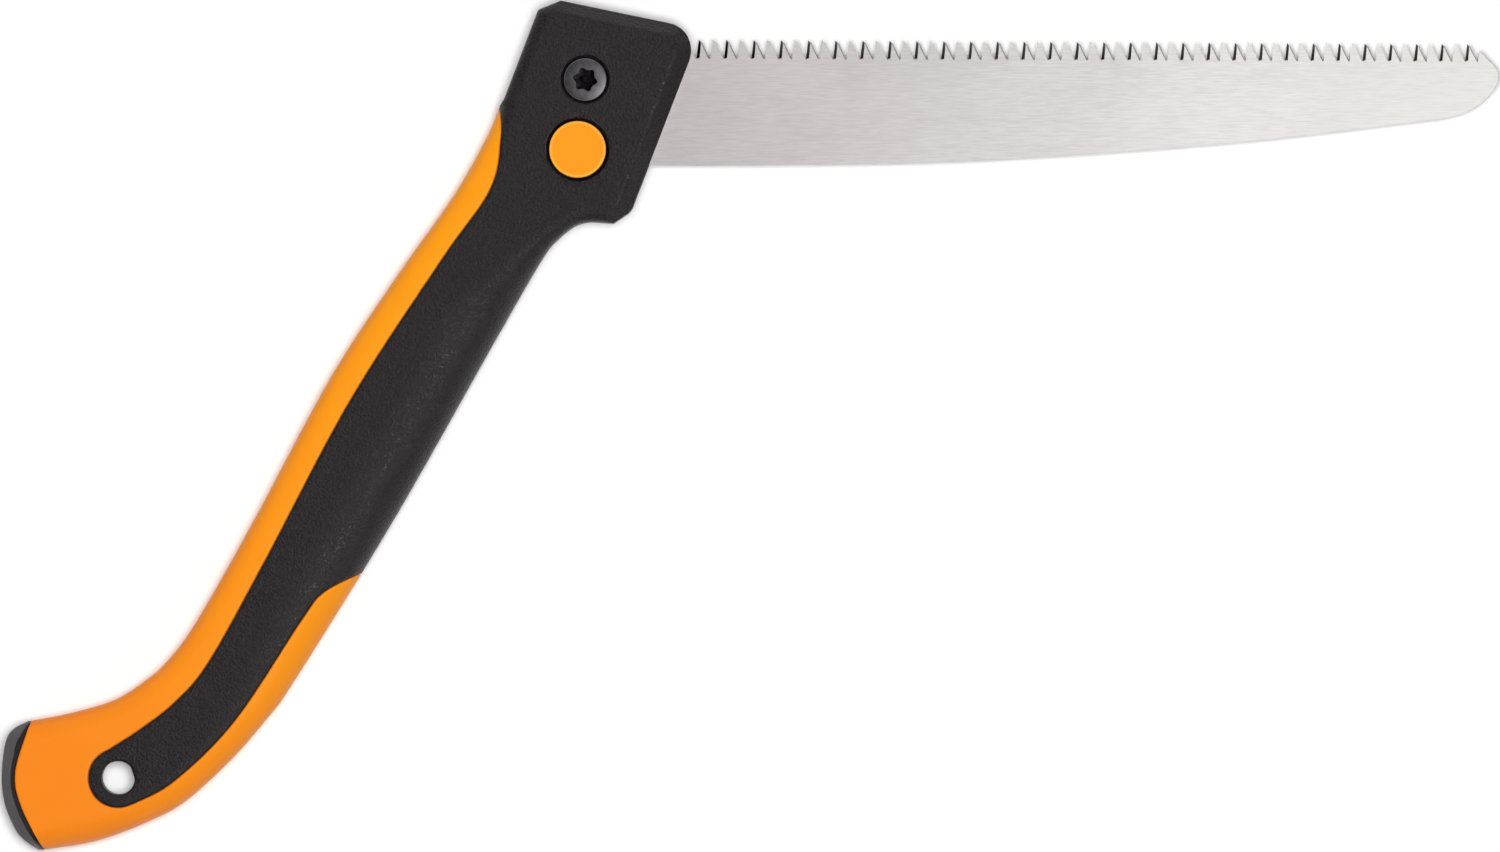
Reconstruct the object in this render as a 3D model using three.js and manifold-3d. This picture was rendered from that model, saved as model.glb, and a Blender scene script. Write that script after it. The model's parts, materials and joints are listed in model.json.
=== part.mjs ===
// Folding pruning saw, lying on its side with the blade open.
// Millimetres. The origin is on the pivot axis, in the plane that the saw rests on.
// +X runs along the open blade, +Y is the toothed side, +Z is the pivot axis.
import * as THREE from 'three';
import { mergeVertices } from 'three/addons/utils/BufferGeometryUtils.js';
import Module from 'manifold-3d';

const wasm = await Module();
wasm.setup();

// ---- driving dimensions ------------------------------------------------------------
const GAP = 0.3; // clearance between pieces that touch
const HANDLE_THICKNESS = 26;
const MID = HANDLE_THICKNESS / 2; // plane of the blade, and parting plane of the handle
const EDGE_ROUND = 4.5; // rounding of the handle's outer edges
const GRIP_SKIN = 2.2; // soft grip over the hard core
const SLOT_HALF = 1.8; // half the width of the blade slot

const BLADE_THICKNESS = 1.4;
const TEETH = 60;
const FIRST_TIP = 36.1; // along the blade from the pivot
const PITCH_HEEL = 4.38;
const PITCH_NOSE = 4.06;
const TIP_HEEL = 13.05; // height of the tooth tips over the pivot
const TIP_NOSE = 11.5;
const TOOTH_HEIGHT_HEEL = 6.3;
const TOOTH_HEIGHT_NOSE = 5.7;
const SPINE_Y = -26.9;
const FOLD_ANGLE = THREE.MathUtils.degToRad(232);

const TANG_RADIUS = 17.3;
const BUSH_OUTER = 6;
const BUSH_HALF = 4.8; // half its length
const SHANK_RADIUS = 4;
const BOLT_HEAD_RADIUS = 7.1;
const BOLT_TOP = HANDLE_THICKNESS - 0.4;
const BOLT_SEAT = 22.2; // underside of the bolt's head
const BOLT_RECESS_FLOOR = 21;
const SPRING_WASHER_LOW = BOLT_RECESS_FLOOR + GAP;
const SPRING_WASHER_THICKNESS = 0.6;
const NUT_BARREL_TOP = 7.9;
const NUT_BORE_FLOOR = 3.2;
const WASHER_RADIUS = 13;
const WASHER_THICKNESS = 0.5;

const LOCK = new THREE.Vector2(-2.4, -22.2); // axis of the lock button
const LOCK_TRAVEL = 3.8;
const COLLAR_RADIUS = 4.5;
const COLLAR_LOW = 10.2;
const COLLAR_TOP = 15.6;
const STEM_RADIUS = 2.5;
const STEM_TOP = 25.7;
const PLUNGER_TAIL = 8.4; // lower end of the plunger, inside the spring
const BUTTON_RADIUS = 9;
const BUTTON_TOP = HANDLE_THICKNESS + 2;
const BUTTON_LOW = 21.4;
const BUTTON_GAP = 0.85; // round the button in its well
const LOCK_POCKET_FLOOR = 3.6;
const SEAT_THICKNESS = 0.4;
const SPRING_LOW = LOCK_POCKET_FLOOR + SEAT_THICKNESS + 2 * GAP;
const SPRING_TOP = COLLAR_LOW - GAP;
const SPRING_RADIUS = 3.6;
const SPRING_WIRE = 0.3;
const SPRING_TURNS = 3;

const HANG_HOLE = new THREE.Vector2(-148.5, -222);
const HANG_RADIUS = 5.35;
const HANG_WALL = 1.2;

const STOP_PIN = new THREE.Vector2(10.5, SPINE_Y - GAP - 3);
const STOP_PIN_RADIUS = 3;
const STOP_PIN_HALF = 6.7; // half its length
const NOSE_REACH = 291.8; // clears the nose of the blade as it swings in

const SCREW_HEAD = 3;
const SCREW_SHANK = 1.4;
const SCREW_LOW = 3; // outside of the sunk head
const SCREW_SEAT = 5.4;
const SCREW_END = 19;

// A tongue on the tail cap goes into a pocket between the halves.
const TONGUE = { x: -173.5, y: -240, length: 11, height: 3.6, low: 8, high: 18 };

const COLOURS = {
  orange: [0xf4932a, 0.45, 0],
  black: [0x2d2a2d, 0.8, 0],
  steel: [0xc8c6c4, 0.35, 1],
  darkSteel: [0x2c2c2f, 0.4, 0.8],
  plastic: [0xe8e4da, 0.6, 0],
};

// ---- outlines, each from the head towards the tail -------------------------------
// Finger side of the handle, where the blade folds in.
const FINGER_EDGE = [
  [-27.3, -8.4], [-31.1, -17.7], [-41.9, -36.8], [-60.7, -63.5], [-81.5, -95.4], [-105.4, -140],
  [-123.5, -171.9], [-132.8, -184.7], [-139.8, -191], [-150, -197.4], [-164, -201.6], [-176.3, -204],
];
// Palm side of the handle.
const PALM_EDGE = [
  [1.4, -45.1], [-3.4, -46.5], [-8.8, -50.8], [-13.9, -57.2], [-28.6, -82.7], [-61.1, -140],
  [-92.6, -191], [-101.9, -203.8], [-113, -216.5], [-127, -229.3], [-138.2, -235.6],
  [-155.1, -242], [-172.3, -245],
];
// End of the handle under the tail cap, and the outside of the cap.
const TAIL_EDGE = [[-172.3, -245], [-179.5, -230.8], [-181.2, -219.7], [-176.3, -204]];
const CAP_EDGE = [[-174.3, -245], [-181.1, -238.8], [-185.5, -225.8], [-184, -209.3], [-177.5, -204]];
// Where the black soft grip meets the orange core, on the finger side and round the tail panel.
const GRIP_FINGER = [
  [-27.3, -8.4], [-26.8, -18.3], [-30.2, -34.9], [-45.6, -57.2], [-74.6, -101.8], [-101.7, -152.8],
  [-119.4, -184.7], [-129.9, -197.4], [-141, -206.2], [-151.5, -213],
];
const GRIP_PALM = [
  [-144, -230.4], [-130.5, -222.9], [-111.4, -203.8], [-90.2, -171.9], [-83.1, -163], [-70.9, -156.9],
];
const PANEL_RADIUS = 9.4; // round end of the black panel about the hang hole

// ---- helpers --------------------------------------------------------------------
const vectors = (pairs) => pairs.map(([x, y]) => new THREE.Vector2(x, y));

// Adds a smooth curve through the points to a path, from where the path is.
function curveThrough(path, pairs) {
  path.splineThru(vectors(pairs));
  return path;
}

function circle(centre, radius, sides = 32) {
  const points = [];
  for (let i = 0; i < sides; i += 1) {
    const a = (2 * Math.PI * i) / sides;
    points.push(new THREE.Vector2(centre.x + radius * Math.cos(a), centre.y + radius * Math.sin(a)));
  }
  return new THREE.Shape(points);
}

// Moves each corner of a closed outline along its normal: outwards if the distance is positive.
function offset(shape, distance, detail = 2) {
  const points = shape.getPoints(detail);
  if (points[0].distanceTo(points.at(-1)) < 1e-6) points.pop();
  const turn = THREE.ShapeUtils.isClockWise(points) ? -1 : 1;
  const moved = points.map((p, i) => {
    const before = points.at(i - 1);
    const after = points[(i + 1) % points.length];
    const a = p.clone().sub(before).normalize();
    const b = after.clone().sub(p).normalize();
    const normal = new THREE.Vector2(a.y + b.y, -a.x - b.x).normalize();
    const stretch = Math.min(1 / Math.max(normal.dot(new THREE.Vector2(a.y, -a.x)), 0.4), 2);
    return p.clone().addScaledVector(normal, turn * distance * stretch);
  });
  return new THREE.Shape(moved);
}

function toSolid(geometry) {
  const bare = geometry.index ? geometry.toNonIndexed() : geometry.clone();
  bare.deleteAttribute('normal');
  bare.deleteAttribute('uv');
  const merged = mergeVertices(bare, 1e-4);
  return new wasm.Manifold(new wasm.Mesh({
    numProp: 3,
    vertProperties: new Float32Array(merged.attributes.position.array),
    triVerts: new Uint32Array(merged.index.array),
  }));
}

function toGeometry(solid) {
  const mesh = solid.getMesh();
  const geometry = new THREE.BufferGeometry();
  geometry.setAttribute('position', new THREE.BufferAttribute(mesh.vertProperties, 3));
  geometry.setIndex(new THREE.BufferAttribute(mesh.triVerts, 1));
  geometry.computeVertexNormals();
  return geometry;
}

// A straight-sided solid on a plan outline, between two heights.
function prism(shape, low, high, detail = 2) {
  const geometry = new THREE.ExtrudeGeometry(shape, {
    depth: high - low, bevelEnabled: false, curveSegments: detail,
  });
  return toSolid(geometry.translate(0, 0, low));
}

// The same with both outer edges rounded inwards.
function pillow(shape, low, high, round) {
  const geometry = new THREE.ExtrudeGeometry(shape, {
    depth: high - low - 2 * round,
    bevelThickness: round,
    bevelSize: round,
    bevelOffset: -round,
    bevelSegments: 3,
    curveSegments: 2,
  });
  return toSolid(geometry.translate(0, 0, low + round));
}

// A turned solid about an upright axis, from [radius, height] pairs that start and end on it.
function turned(centre, profile, sides = 32) {
  const geometry = new THREE.LatheGeometry(vectors(profile), sides);
  geometry.rotateX(Math.PI / 2);
  return toSolid(geometry.translate(centre.x, centre.y, 0));
}

const rod = (centre, radius, low, high, sides = 32) => prism(circle(centre, radius, sides), low, high);
const join = (...solids) => solids.reduce((a, b) => a.add(b));
const cut = (solid, ...tools) => tools.reduce((a, b) => a.subtract(b), solid);

function piece(name, solid, [colour, roughness, metalness]) {
  const material = new THREE.MeshStandardMaterial({ color: colour, roughness, metalness });
  const mesh = new THREE.Mesh(toGeometry(solid), material);
  mesh.name = name;
  return mesh;
}

// A point given along and across the folded blade, in the handle's frame.
function folded(along, across) {
  return new THREE.Vector2(along, across).rotateAround(new THREE.Vector2(), FOLD_ANGLE);
}

// ---- plan outlines ----------------------------------------------------------------
// The chamfered head, from the palm side of the neck round to the finger side.
function headPath(shape) {
  shape.lineTo(8.9, -45.6);
  shape.lineTo(13.6, -42.5);
  shape.lineTo(14.9, -40.9);
  shape.lineTo(32.9, 5.7);
  shape.bezierCurveTo(35, 11, 32.5, 16.8, 26.9, 18);
  shape.lineTo(-7.8, 25.2);
  shape.lineTo(-15, 22.3);
  shape.lineTo(-25.8, -6);
  return shape;
}

function handleOutline() {
  const shape = new THREE.Shape();
  shape.moveTo(...PALM_EDGE[0]);
  headPath(shape);
  shape.lineTo(...FINGER_EDGE[0]);
  curveThrough(shape, FINGER_EDGE.slice(1));
  curveThrough(shape, TAIL_EDGE.slice(1, -1).reverse().concat([TAIL_EDGE[0]]));
  curveThrough(shape, PALM_EDGE.slice(0, -1).reverse());
  return shape;
}

// Head, grip strip and tail panel; it runs past the handle's edge where the grip wraps it.
function gripOutline() {
  const shape = new THREE.Shape();
  shape.moveTo(60, -60);
  shape.lineTo(60, 60);
  shape.lineTo(-60, 60);
  shape.lineTo(-60, -8.4);
  shape.lineTo(...GRIP_FINGER[0]);
  curveThrough(shape, GRIP_FINGER.slice(1));
  const from = new THREE.Vector2(...GRIP_FINGER.at(-1)).sub(HANG_HOLE).angle();
  const to = new THREE.Vector2(...GRIP_PALM[0]).sub(HANG_HOLE).angle();
  shape.absarc(HANG_HOLE.x, HANG_HOLE.y, PANEL_RADIUS, from, to, false);
  curveThrough(shape, GRIP_PALM.slice(1));
  shape.lineTo(-40, -156.9);
  return shape;
}

// Everything that the blade, tang and heel sweep through inside the handle.
function slotOutline() {
  const shape = new THREE.Shape();
  const throat = folded(23.6, 13.8);
  const nearNose = folded(284, 12.2);
  const nose = folded(NOSE_REACH, 8);
  const beyond = FOLD_ANGLE - THREE.MathUtils.degToRad(8);
  shape.moveTo(60, SPINE_Y - GAP);
  shape.lineTo(throat.x, SPINE_Y - GAP);
  shape.lineTo(nearNose.x, nearNose.y);
  shape.lineTo(nose.x, nose.y);
  shape.absarc(0, 0, nose.length(), nose.angle(), beyond, true);
  shape.lineTo(-280, -150);
  shape.lineTo(-280, 60);
  shape.lineTo(60, 60);
  return shape;
}

// ---- the blade ------------------------------------------------------------------
function tipHeight(x) {
  return TIP_HEEL + ((TIP_NOSE - TIP_HEEL) * (x - FIRST_TIP)) / (TEETH * PITCH_HEEL);
}

// Raked teeth for the pull stroke: steep face towards the handle, a short ground top.
function toothPoints() {
  const points = [];
  for (let i = -1; i < TEETH; i += 1) {
    const ease = i / (TEETH - 1);
    const x = FIRST_TIP + PITCH_HEEL * i + ((PITCH_NOSE - PITCH_HEEL) * i * ease) / 2;
    const height = THREE.MathUtils.lerp(TOOTH_HEIGHT_HEEL, TOOTH_HEIGHT_NOSE, ease);
    const pitch = THREE.MathUtils.lerp(PITCH_HEEL, PITCH_NOSE, ease);
    const top = i === TEETH - 1 ? tipHeight(x) - 2.3 : tipHeight(x);
    const root = tipHeight(x) - height;
    points.push([x - 0.17 * pitch, root], [x, top], [x + 0.25 * pitch, top - 0.16 * height]);
    points.push([x + 0.78 * pitch, root]);
  }
  points.pop();
  return points;
}

function bladeOutline() {
  const shape = new THREE.Shape();
  const notch = COLLAR_RADIUS + GAP;
  const openLock = LOCK.angle();
  const closedLock = openLock - FOLD_ANGLE;
  const closed = new THREE.Vector2(LOCK.length(), 0).rotateAround(new THREE.Vector2(), closedLock);
  // Round the tang from the folded notch, over the top, to the open notch.
  shape.moveTo(closed.x + notch, closed.y);
  shape.absarc(closed.x, closed.y, notch, 0, closedLock + Math.PI, true);
  shape.absarc(0, 0, TANG_RADIUS, closedLock, openLock, false);
  shape.absarc(LOCK.x, LOCK.y, notch, openLock + Math.PI, 0, true);
  shape.lineTo(LOCK.x + notch, SPINE_Y + 1);
  shape.lineTo(LOCK.x + notch + 1, SPINE_Y);
  // The spine, straight then drooping to the round nose.
  shape.lineTo(60, SPINE_Y - 0.1);
  curveThrough(shape, [[124, -25.6], [206, -19.9], [272.6, -12.2]]);
  shape.bezierCurveTo(282, -10.7, 286.5, -7, 289.8, -2.2);
  shape.bezierCurveTo(291.6, 0.6, 291.2, 3.6, 288, 6.1);
  for (const [x, y] of toothPoints().reverse()) shape.lineTo(x, y);
  // The shoulder that meets the lock when the saw is folded.
  shape.lineTo(29.6, 7);
  shape.lineTo(28.6, closed.y);
  shape.holes.push(circle(new THREE.Vector2(), BUSH_OUTER + GAP, 40));
  return shape;
}

function blade() {
  const low = MID - BLADE_THICKNESS / 2;
  return piece('blade', prism(bladeOutline(), low, low + BLADE_THICKNESS, 6), COLOURS.steel);
}

// ---- the handle -----------------------------------------------------------------
// Each half is made as the lower one; the upper one is its mirror image in the parting plane.
const LOWER = { name: 'back', mirror: false };
const UPPER = { name: 'front', mirror: true };

function placeHalf(solid, side) {
  return side.mirror ? solid.mirror([0, 0, 1]).translate([0, 0, 2 * MID]) : solid;
}

// The whole lower half: rounded outer edge, flat parting face, open blade slot.
function halfBody() {
  const parting = MID - GAP / 2;
  const block = pillow(handleOutline(), 0, 2 * MID, EDGE_ROUND);
  const below = rod(new THREE.Vector2(-80, -110), 400, -1, parting, 4);
  return cut(block.intersect(below), prism(slotOutline(), MID - SLOT_HALF, MID + 1, 12));
}

// What the soft grip occupies: a skin on the face and round the wrapped edge.
function gripSpace(grow) {
  const plan = prism(offset(gripOutline(), grow), -2, MID + 1);
  const core = offset(handleOutline(), -GRIP_SKIN - grow);
  return cut(plan, prism(core, GRIP_SKIN + grow, MID + 2));
}

function hangBore(radius) {
  return rod(HANG_HOLE, radius, -3, MID + 3, 24);
}

const SCREWS = {
  shell_screw_upper: folded(75, 19.5),
  shell_screw_middle: folded(130, 23),
  shell_screw_lower: folded(205, 28),
};
// Openings in the lower or upper half, in the saw's own heights.
function backOpenings() {
  const seats = Object.values(SCREWS).map((at) => rod(at, SCREW_HEAD + GAP, -1, SCREW_SEAT, 20));
  const shanks = Object.values(SCREWS).map((at) => rod(at, SCREW_SHANK + GAP, 0, MID + 1, 12));
  return [
    ...seats,
    ...shanks,
    rod(new THREE.Vector2(), BOLT_HEAD_RADIUS + GAP, -1, GRIP_SKIN + 0.2),
    rod(new THREE.Vector2(), BUSH_OUTER + GAP, -1, MID),
    rod(LOCK, COLLAR_RADIUS + GAP, LOCK_POCKET_FLOOR, MID),
    rod(STOP_PIN, STOP_PIN_RADIUS + GAP, MID - STOP_PIN_HALF - GAP, MID, 24),
  ];
}

function frontOpenings() {
  const top = HANDLE_THICKNESS;
  const pilots = Object.values(SCREWS).map((at) => rod(at, SCREW_SHANK + GAP, MID, SCREW_END + 0.5, 12));
  return [
    ...pilots,
    rod(new THREE.Vector2(), BOLT_HEAD_RADIUS + 0.5, BOLT_RECESS_FLOOR, top + 1),
    rod(new THREE.Vector2(), SHANK_RADIUS + GAP, MID, top),
    rod(new THREE.Vector2(), BUSH_OUTER + GAP, MID, MID + BUSH_HALF + GAP),
    rod(LOCK, COLLAR_RADIUS + GAP, MID, COLLAR_TOP + GAP),
    rod(LOCK, STEM_RADIUS + GAP, MID, top),
    rod(LOCK, BUTTON_RADIUS + BUTTON_GAP, BUTTON_LOW - LOCK_TRAVEL - GAP, top + 1, 40),
    rod(STOP_PIN, STOP_PIN_RADIUS + GAP, MID, MID + STOP_PIN_HALF + GAP, 24),
  ];
}

function tongue(grow) {
  const half = TONGUE.length / 2 + grow;
  const rise = TONGUE.height / 2 + grow;
  const shape = new THREE.Shape(vectors([
    [TONGUE.x - half, TONGUE.y - rise], [TONGUE.x + half, TONGUE.y - rise],
    [TONGUE.x + half, TONGUE.y + rise], [TONGUE.x - half, TONGUE.y + rise],
  ]));
  return prism(shape, TONGUE.low - grow, TONGUE.high + grow);
}

function handleCore(side) {
  const half = cut(halfBody(), gripSpace(GAP), hangBore(HANG_RADIUS + HANG_WALL + GAP));
  const openings = side.mirror ? frontOpenings() : backOpenings();
  const solid = cut(placeHalf(half, side), ...openings, tongue(GAP));
  return piece(`handle_core_${side.name}`, solid, COLOURS.orange);
}

function softGrip(side) {
  const skin = halfBody().intersect(gripSpace(0));
  const lining = rod(HANG_HOLE, HANG_RADIUS + HANG_WALL, 0.6, MID - GAP / 2, 24);
  const half = cut(join(skin, lining), hangBore(HANG_RADIUS));
  const openings = side.mirror ? frontOpenings() : backOpenings();
  const solid = cut(placeHalf(half, side), ...openings);
  return piece(`soft_grip_${side.name}`, solid, COLOURS.black);
}

function tailCap() {
  const shape = new THREE.Shape();
  shape.moveTo(...CAP_EDGE[0]);
  curveThrough(shape, CAP_EDGE.slice(1));
  shape.lineTo(TAIL_EDGE.at(-1)[0] + 2, TAIL_EDGE.at(-1)[1]);
  shape.lineTo(TAIL_EDGE[0][0] + 2, TAIL_EDGE[0][1]);
  const body = pillow(shape, 0, HANDLE_THICKNESS, 2);
  const handle = prism(offset(handleOutline(), GAP), -1, HANDLE_THICKNESS + 1);
  const slot = prism(slotOutline(), MID - SLOT_HALF, MID + SLOT_HALF, 12);
  const cap = cut(join(cut(body, handle), tongue(0)), slot);
  return piece('tail_cap', cap, COLOURS.black);
}

// ---- pivot ---------------------------------------------------------------------
// A six-lobed socket with a pin left standing in it.
function securitySocket(low, high) {
  const points = [];
  const lobes = 6;
  for (let i = 0; i < lobes * 8; i += 1) {
    const a = (2 * Math.PI * i) / (lobes * 8);
    const radius = 3.2 + 0.55 * Math.cos(lobes * (a - 0.84));
    points.push(new THREE.Vector2(radius * Math.cos(a), radius * Math.sin(a)));
  }
  return cut(prism(new THREE.Shape(points), low, high), rod(new THREE.Vector2(), 1, low, high, 16));
}

function pivotBolt() {
  const r = BOLT_HEAD_RADIUS;
  const low = NUT_BORE_FLOOR + 2 * GAP;
  const chamfer = 0.5;
  const solid = turned(new THREE.Vector2(), [
    [0, low], [SHANK_RADIUS - chamfer, low], [SHANK_RADIUS, low + chamfer], [SHANK_RADIUS, BOLT_SEAT],
    [r, BOLT_SEAT], [r, BOLT_TOP - chamfer], [r - chamfer, BOLT_TOP], [0, BOLT_TOP],
  ], 40);
  const socket = securitySocket(BOLT_TOP - 2, BOLT_TOP + 1);
  return piece('pivot_bolt', cut(solid, socket), COLOURS.darkSteel);
}

// Closed nut, flush with the side that the saw rests on.
function pivotNut() {
  const r = BOLT_HEAD_RADIUS;
  const bore = SHANK_RADIUS + GAP;
  const solid = turned(new THREE.Vector2(), [
    [0, 0], [r - 0.4, 0], [r, 0.4], [r, GRIP_SKIN], [BUSH_OUTER, GRIP_SKIN],
    [BUSH_OUTER, NUT_BARREL_TOP], [bore, NUT_BARREL_TOP], [bore, NUT_BORE_FLOOR], [0, NUT_BORE_FLOOR],
  ], 40);
  return piece('pivot_nut', solid, COLOURS.darkSteel);
}

function ring(name, outer, inner, low, high, colour) {
  const origin = new THREE.Vector2();
  return piece(name, cut(rod(origin, outer, low, high, 40), rod(origin, inner, low - 1, high + 1)), colour);
}

// ---- lock ----------------------------------------------------------------------
function lockButton() {
  const r = BUTTON_RADIUS;
  const top = BUTTON_TOP;
  const socket = STEM_RADIUS + GAP;
  const solid = turned(LOCK, [
    [0, STEM_TOP + GAP], [socket, STEM_TOP + GAP], [socket, BUTTON_LOW], [r, BUTTON_LOW],
    [r, top - 1.2], [r - 0.35, top - 0.35], [r - 1.2, top], [0, top],
  ], 40);
  return piece('lock_button', solid, COLOURS.orange);
}

// Thin stem, thick collar level with the blade, short tail inside the spring.
function lockPlunger() {
  const solid = turned(LOCK, [
    [0, PLUNGER_TAIL], [1.5, PLUNGER_TAIL], [1.5, COLLAR_LOW], [COLLAR_RADIUS, COLLAR_LOW],
    [COLLAR_RADIUS, COLLAR_TOP], [STEM_RADIUS, COLLAR_TOP], [STEM_RADIUS, STEM_TOP], [0, STEM_TOP],
  ]);
  return piece('lock_plunger', solid, COLOURS.steel);
}

function lockSpring() {
  const r = SPRING_RADIUS;
  const steps = SPRING_TURNS * 14;
  const points = [];
  for (let i = 0; i <= steps; i += 1) {
    const a = (2 * Math.PI * SPRING_TURNS * i) / steps;
    const z = THREE.MathUtils.lerp(SPRING_LOW + SPRING_WIRE, SPRING_TOP - SPRING_WIRE, i / steps);
    points.push(new THREE.Vector3(LOCK.x + r * Math.cos(a), LOCK.y + r * Math.sin(a), z));
  }
  const geometry = new THREE.ExtrudeGeometry(circle(new THREE.Vector2(), SPRING_WIRE, 6), {
    steps, bevelEnabled: false, extrudePath: new THREE.CatmullRomCurve3(points),
  });
  return piece('lock_spring', toSolid(geometry), COLOURS.steel);
}

// ---- fasteners ------------------------------------------------------------------
function shellScrew(name, at) {
  const socket = 1.3; // radius and depth of its hexagon
  const solid = turned(at, [
    [0, SCREW_LOW], [SCREW_HEAD - 0.5, SCREW_LOW], [SCREW_HEAD, SCREW_LOW + 0.5],
    [SCREW_HEAD, SCREW_SEAT - GAP], [SCREW_SHANK, SCREW_SEAT - GAP], [SCREW_SHANK, SCREW_END - 1],
    [0, SCREW_END],
  ], 20);
  const hexagon = rod(at, socket, SCREW_LOW - 1, SCREW_LOW + socket, 6);
  return piece(name, cut(solid, hexagon), COLOURS.darkSteel);
}

// ---- assembly -------------------------------------------------------------------
const saw = new THREE.Group();
for (const side of [LOWER, UPPER]) {
  saw.add(handleCore(side), softGrip(side));
}
saw.add(tailCap());
for (const [name, at] of Object.entries(SCREWS)) saw.add(shellScrew(name, at));
const stopPin = rod(STOP_PIN, STOP_PIN_RADIUS, MID - STOP_PIN_HALF, MID + STOP_PIN_HALF, 24);
saw.add(piece('blade_stop_pin', stopPin, COLOURS.steel));
const washerFace = BLADE_THICKNESS / 2 + GAP; // from the middle of the blade
const washerBack = washerFace + WASHER_THICKNESS;
const shaftBore = SHANK_RADIUS + GAP;
const bushBore = BUSH_OUTER + GAP;
saw.add(
  pivotBolt(),
  pivotNut(),
  ring('pivot_bushing', BUSH_OUTER, shaftBore, MID - BUSH_HALF, MID + BUSH_HALF, COLOURS.steel),
  ring('pivot_spring_washer', BOLT_HEAD_RADIUS - GAP, shaftBore, SPRING_WASHER_LOW,
    SPRING_WASHER_LOW + SPRING_WASHER_THICKNESS, COLOURS.steel),
  ring('blade_washer_back', WASHER_RADIUS, bushBore, MID - washerBack, MID - washerFace, COLOURS.plastic),
  ring('blade_washer_front', WASHER_RADIUS, bushBore, MID + washerFace, MID + washerBack, COLOURS.plastic),
);
const seat = rod(LOCK, COLLAR_RADIUS - 0.1, LOCK_POCKET_FLOOR + GAP,
  LOCK_POCKET_FLOOR + GAP + SEAT_THICKNESS, 24);
saw.add(blade(), lockButton(), lockPlunger(), lockSpring(), piece('spring_seat', seat, COLOURS.steel));

export default saw;
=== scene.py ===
# Folding pruning saw lying on its side with the blade open.
# Shapes are worked out in millimetres and put into the meshes in metres.
import json
import math

import bmesh
import bpy
import numpy as np
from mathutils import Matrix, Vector


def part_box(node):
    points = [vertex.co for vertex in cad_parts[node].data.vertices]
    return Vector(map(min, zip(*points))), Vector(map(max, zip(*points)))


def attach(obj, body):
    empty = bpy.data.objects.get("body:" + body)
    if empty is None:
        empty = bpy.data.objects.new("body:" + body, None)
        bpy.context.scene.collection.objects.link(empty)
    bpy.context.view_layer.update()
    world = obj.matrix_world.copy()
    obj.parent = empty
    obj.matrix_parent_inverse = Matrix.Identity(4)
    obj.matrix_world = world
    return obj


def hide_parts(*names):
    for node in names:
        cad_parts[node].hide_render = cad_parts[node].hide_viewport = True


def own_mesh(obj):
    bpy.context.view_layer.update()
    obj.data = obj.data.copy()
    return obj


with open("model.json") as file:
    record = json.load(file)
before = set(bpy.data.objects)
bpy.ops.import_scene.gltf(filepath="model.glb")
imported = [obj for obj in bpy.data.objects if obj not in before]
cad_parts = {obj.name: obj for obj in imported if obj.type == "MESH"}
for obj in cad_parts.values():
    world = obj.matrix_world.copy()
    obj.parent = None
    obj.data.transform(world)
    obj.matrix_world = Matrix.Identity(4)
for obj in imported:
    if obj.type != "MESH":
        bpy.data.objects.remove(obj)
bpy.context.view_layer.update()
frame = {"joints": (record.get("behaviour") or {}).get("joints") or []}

MM = 0.001


# ---- places taken from the frame ---------------------------------------------------
def corners(node):
    """Lowest and highest corner of a CAD node, in millimetres."""
    low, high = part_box(node)
    return np.array(low) / MM, np.array(high) / MM


def middle(node):
    """Plan centre of a CAD node."""
    return np.mean(corners(node), axis=0)[:2]


PIVOT = middle("pivot_bolt")
LOCK = middle("lock_button")
SCREWS = [middle(f"shell_screw_{n}") for n in ("upper", "middle", "lower")]
MID = np.mean(corners("blade"), axis=0)[2]  # plane of the blade
HALF = corners("soft_grip_front")[1][2] - MID  # half of the handle's thickness
SLOT = 1.8  # half of the blade slot's width
PARTING = 0.06  # half of the hairline between the two halves

HANG_HOLE = np.array([-148.5, -222.0])
HANG_RADIUS = 5.35
HANG_RADIUS_BACK = HANG_RADIUS + 0.6
PANEL_RADIUS = 9.4  # round end of the black panel about the hanging hole
BOLT_RECESS, BOLT_DEPTH = 7.65, 5.3  # radius and depth of each recess
BUTTON_WELL, BUTTON_DEPTH = 9.85, 9.1
NUT_RECESS, NUT_DEPTH = 7.4, 2.4
SCREW_RECESS, SCREW_DEPTH = 3.3, 5.4
BORES = {BOLT_RECESS: 6.3, BUTTON_WELL: 4.8, NUT_RECESS: 6.3}  # through the core under the recesses
SCREW_BORE = 1.7  # through the grip's lining only, the core is open round the screws
STOP_POCKET, STOP_LOW, STOP_HIGH = 3.3, 6.0, 20.0  # radius and ends of the stop pin's pocket
LOCK_FLOOR = 3.6  # of the pocket that the lock's spring stands in

GRIP_SKIN = 2.2  # thickness of the soft grip
SKIN_GAP = 0.1  # between the skin and the core under it
LEAST_FLOOR = 2.4  # the skin's underside stays this high over the parting plane
LINING = 1.2  # wall of the grip inside a hole
SEAT = 0.5  # floor of the grip in a recess
CORE_HOLE_MARGIN = 1.35  # how much wider the holes of the core are, for the lining
HOLE_LIP = 0.45  # rounding at the edge of a recess
HANG_LIP = 1.7  # how many times as round the edge of the hanging hole is

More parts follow.
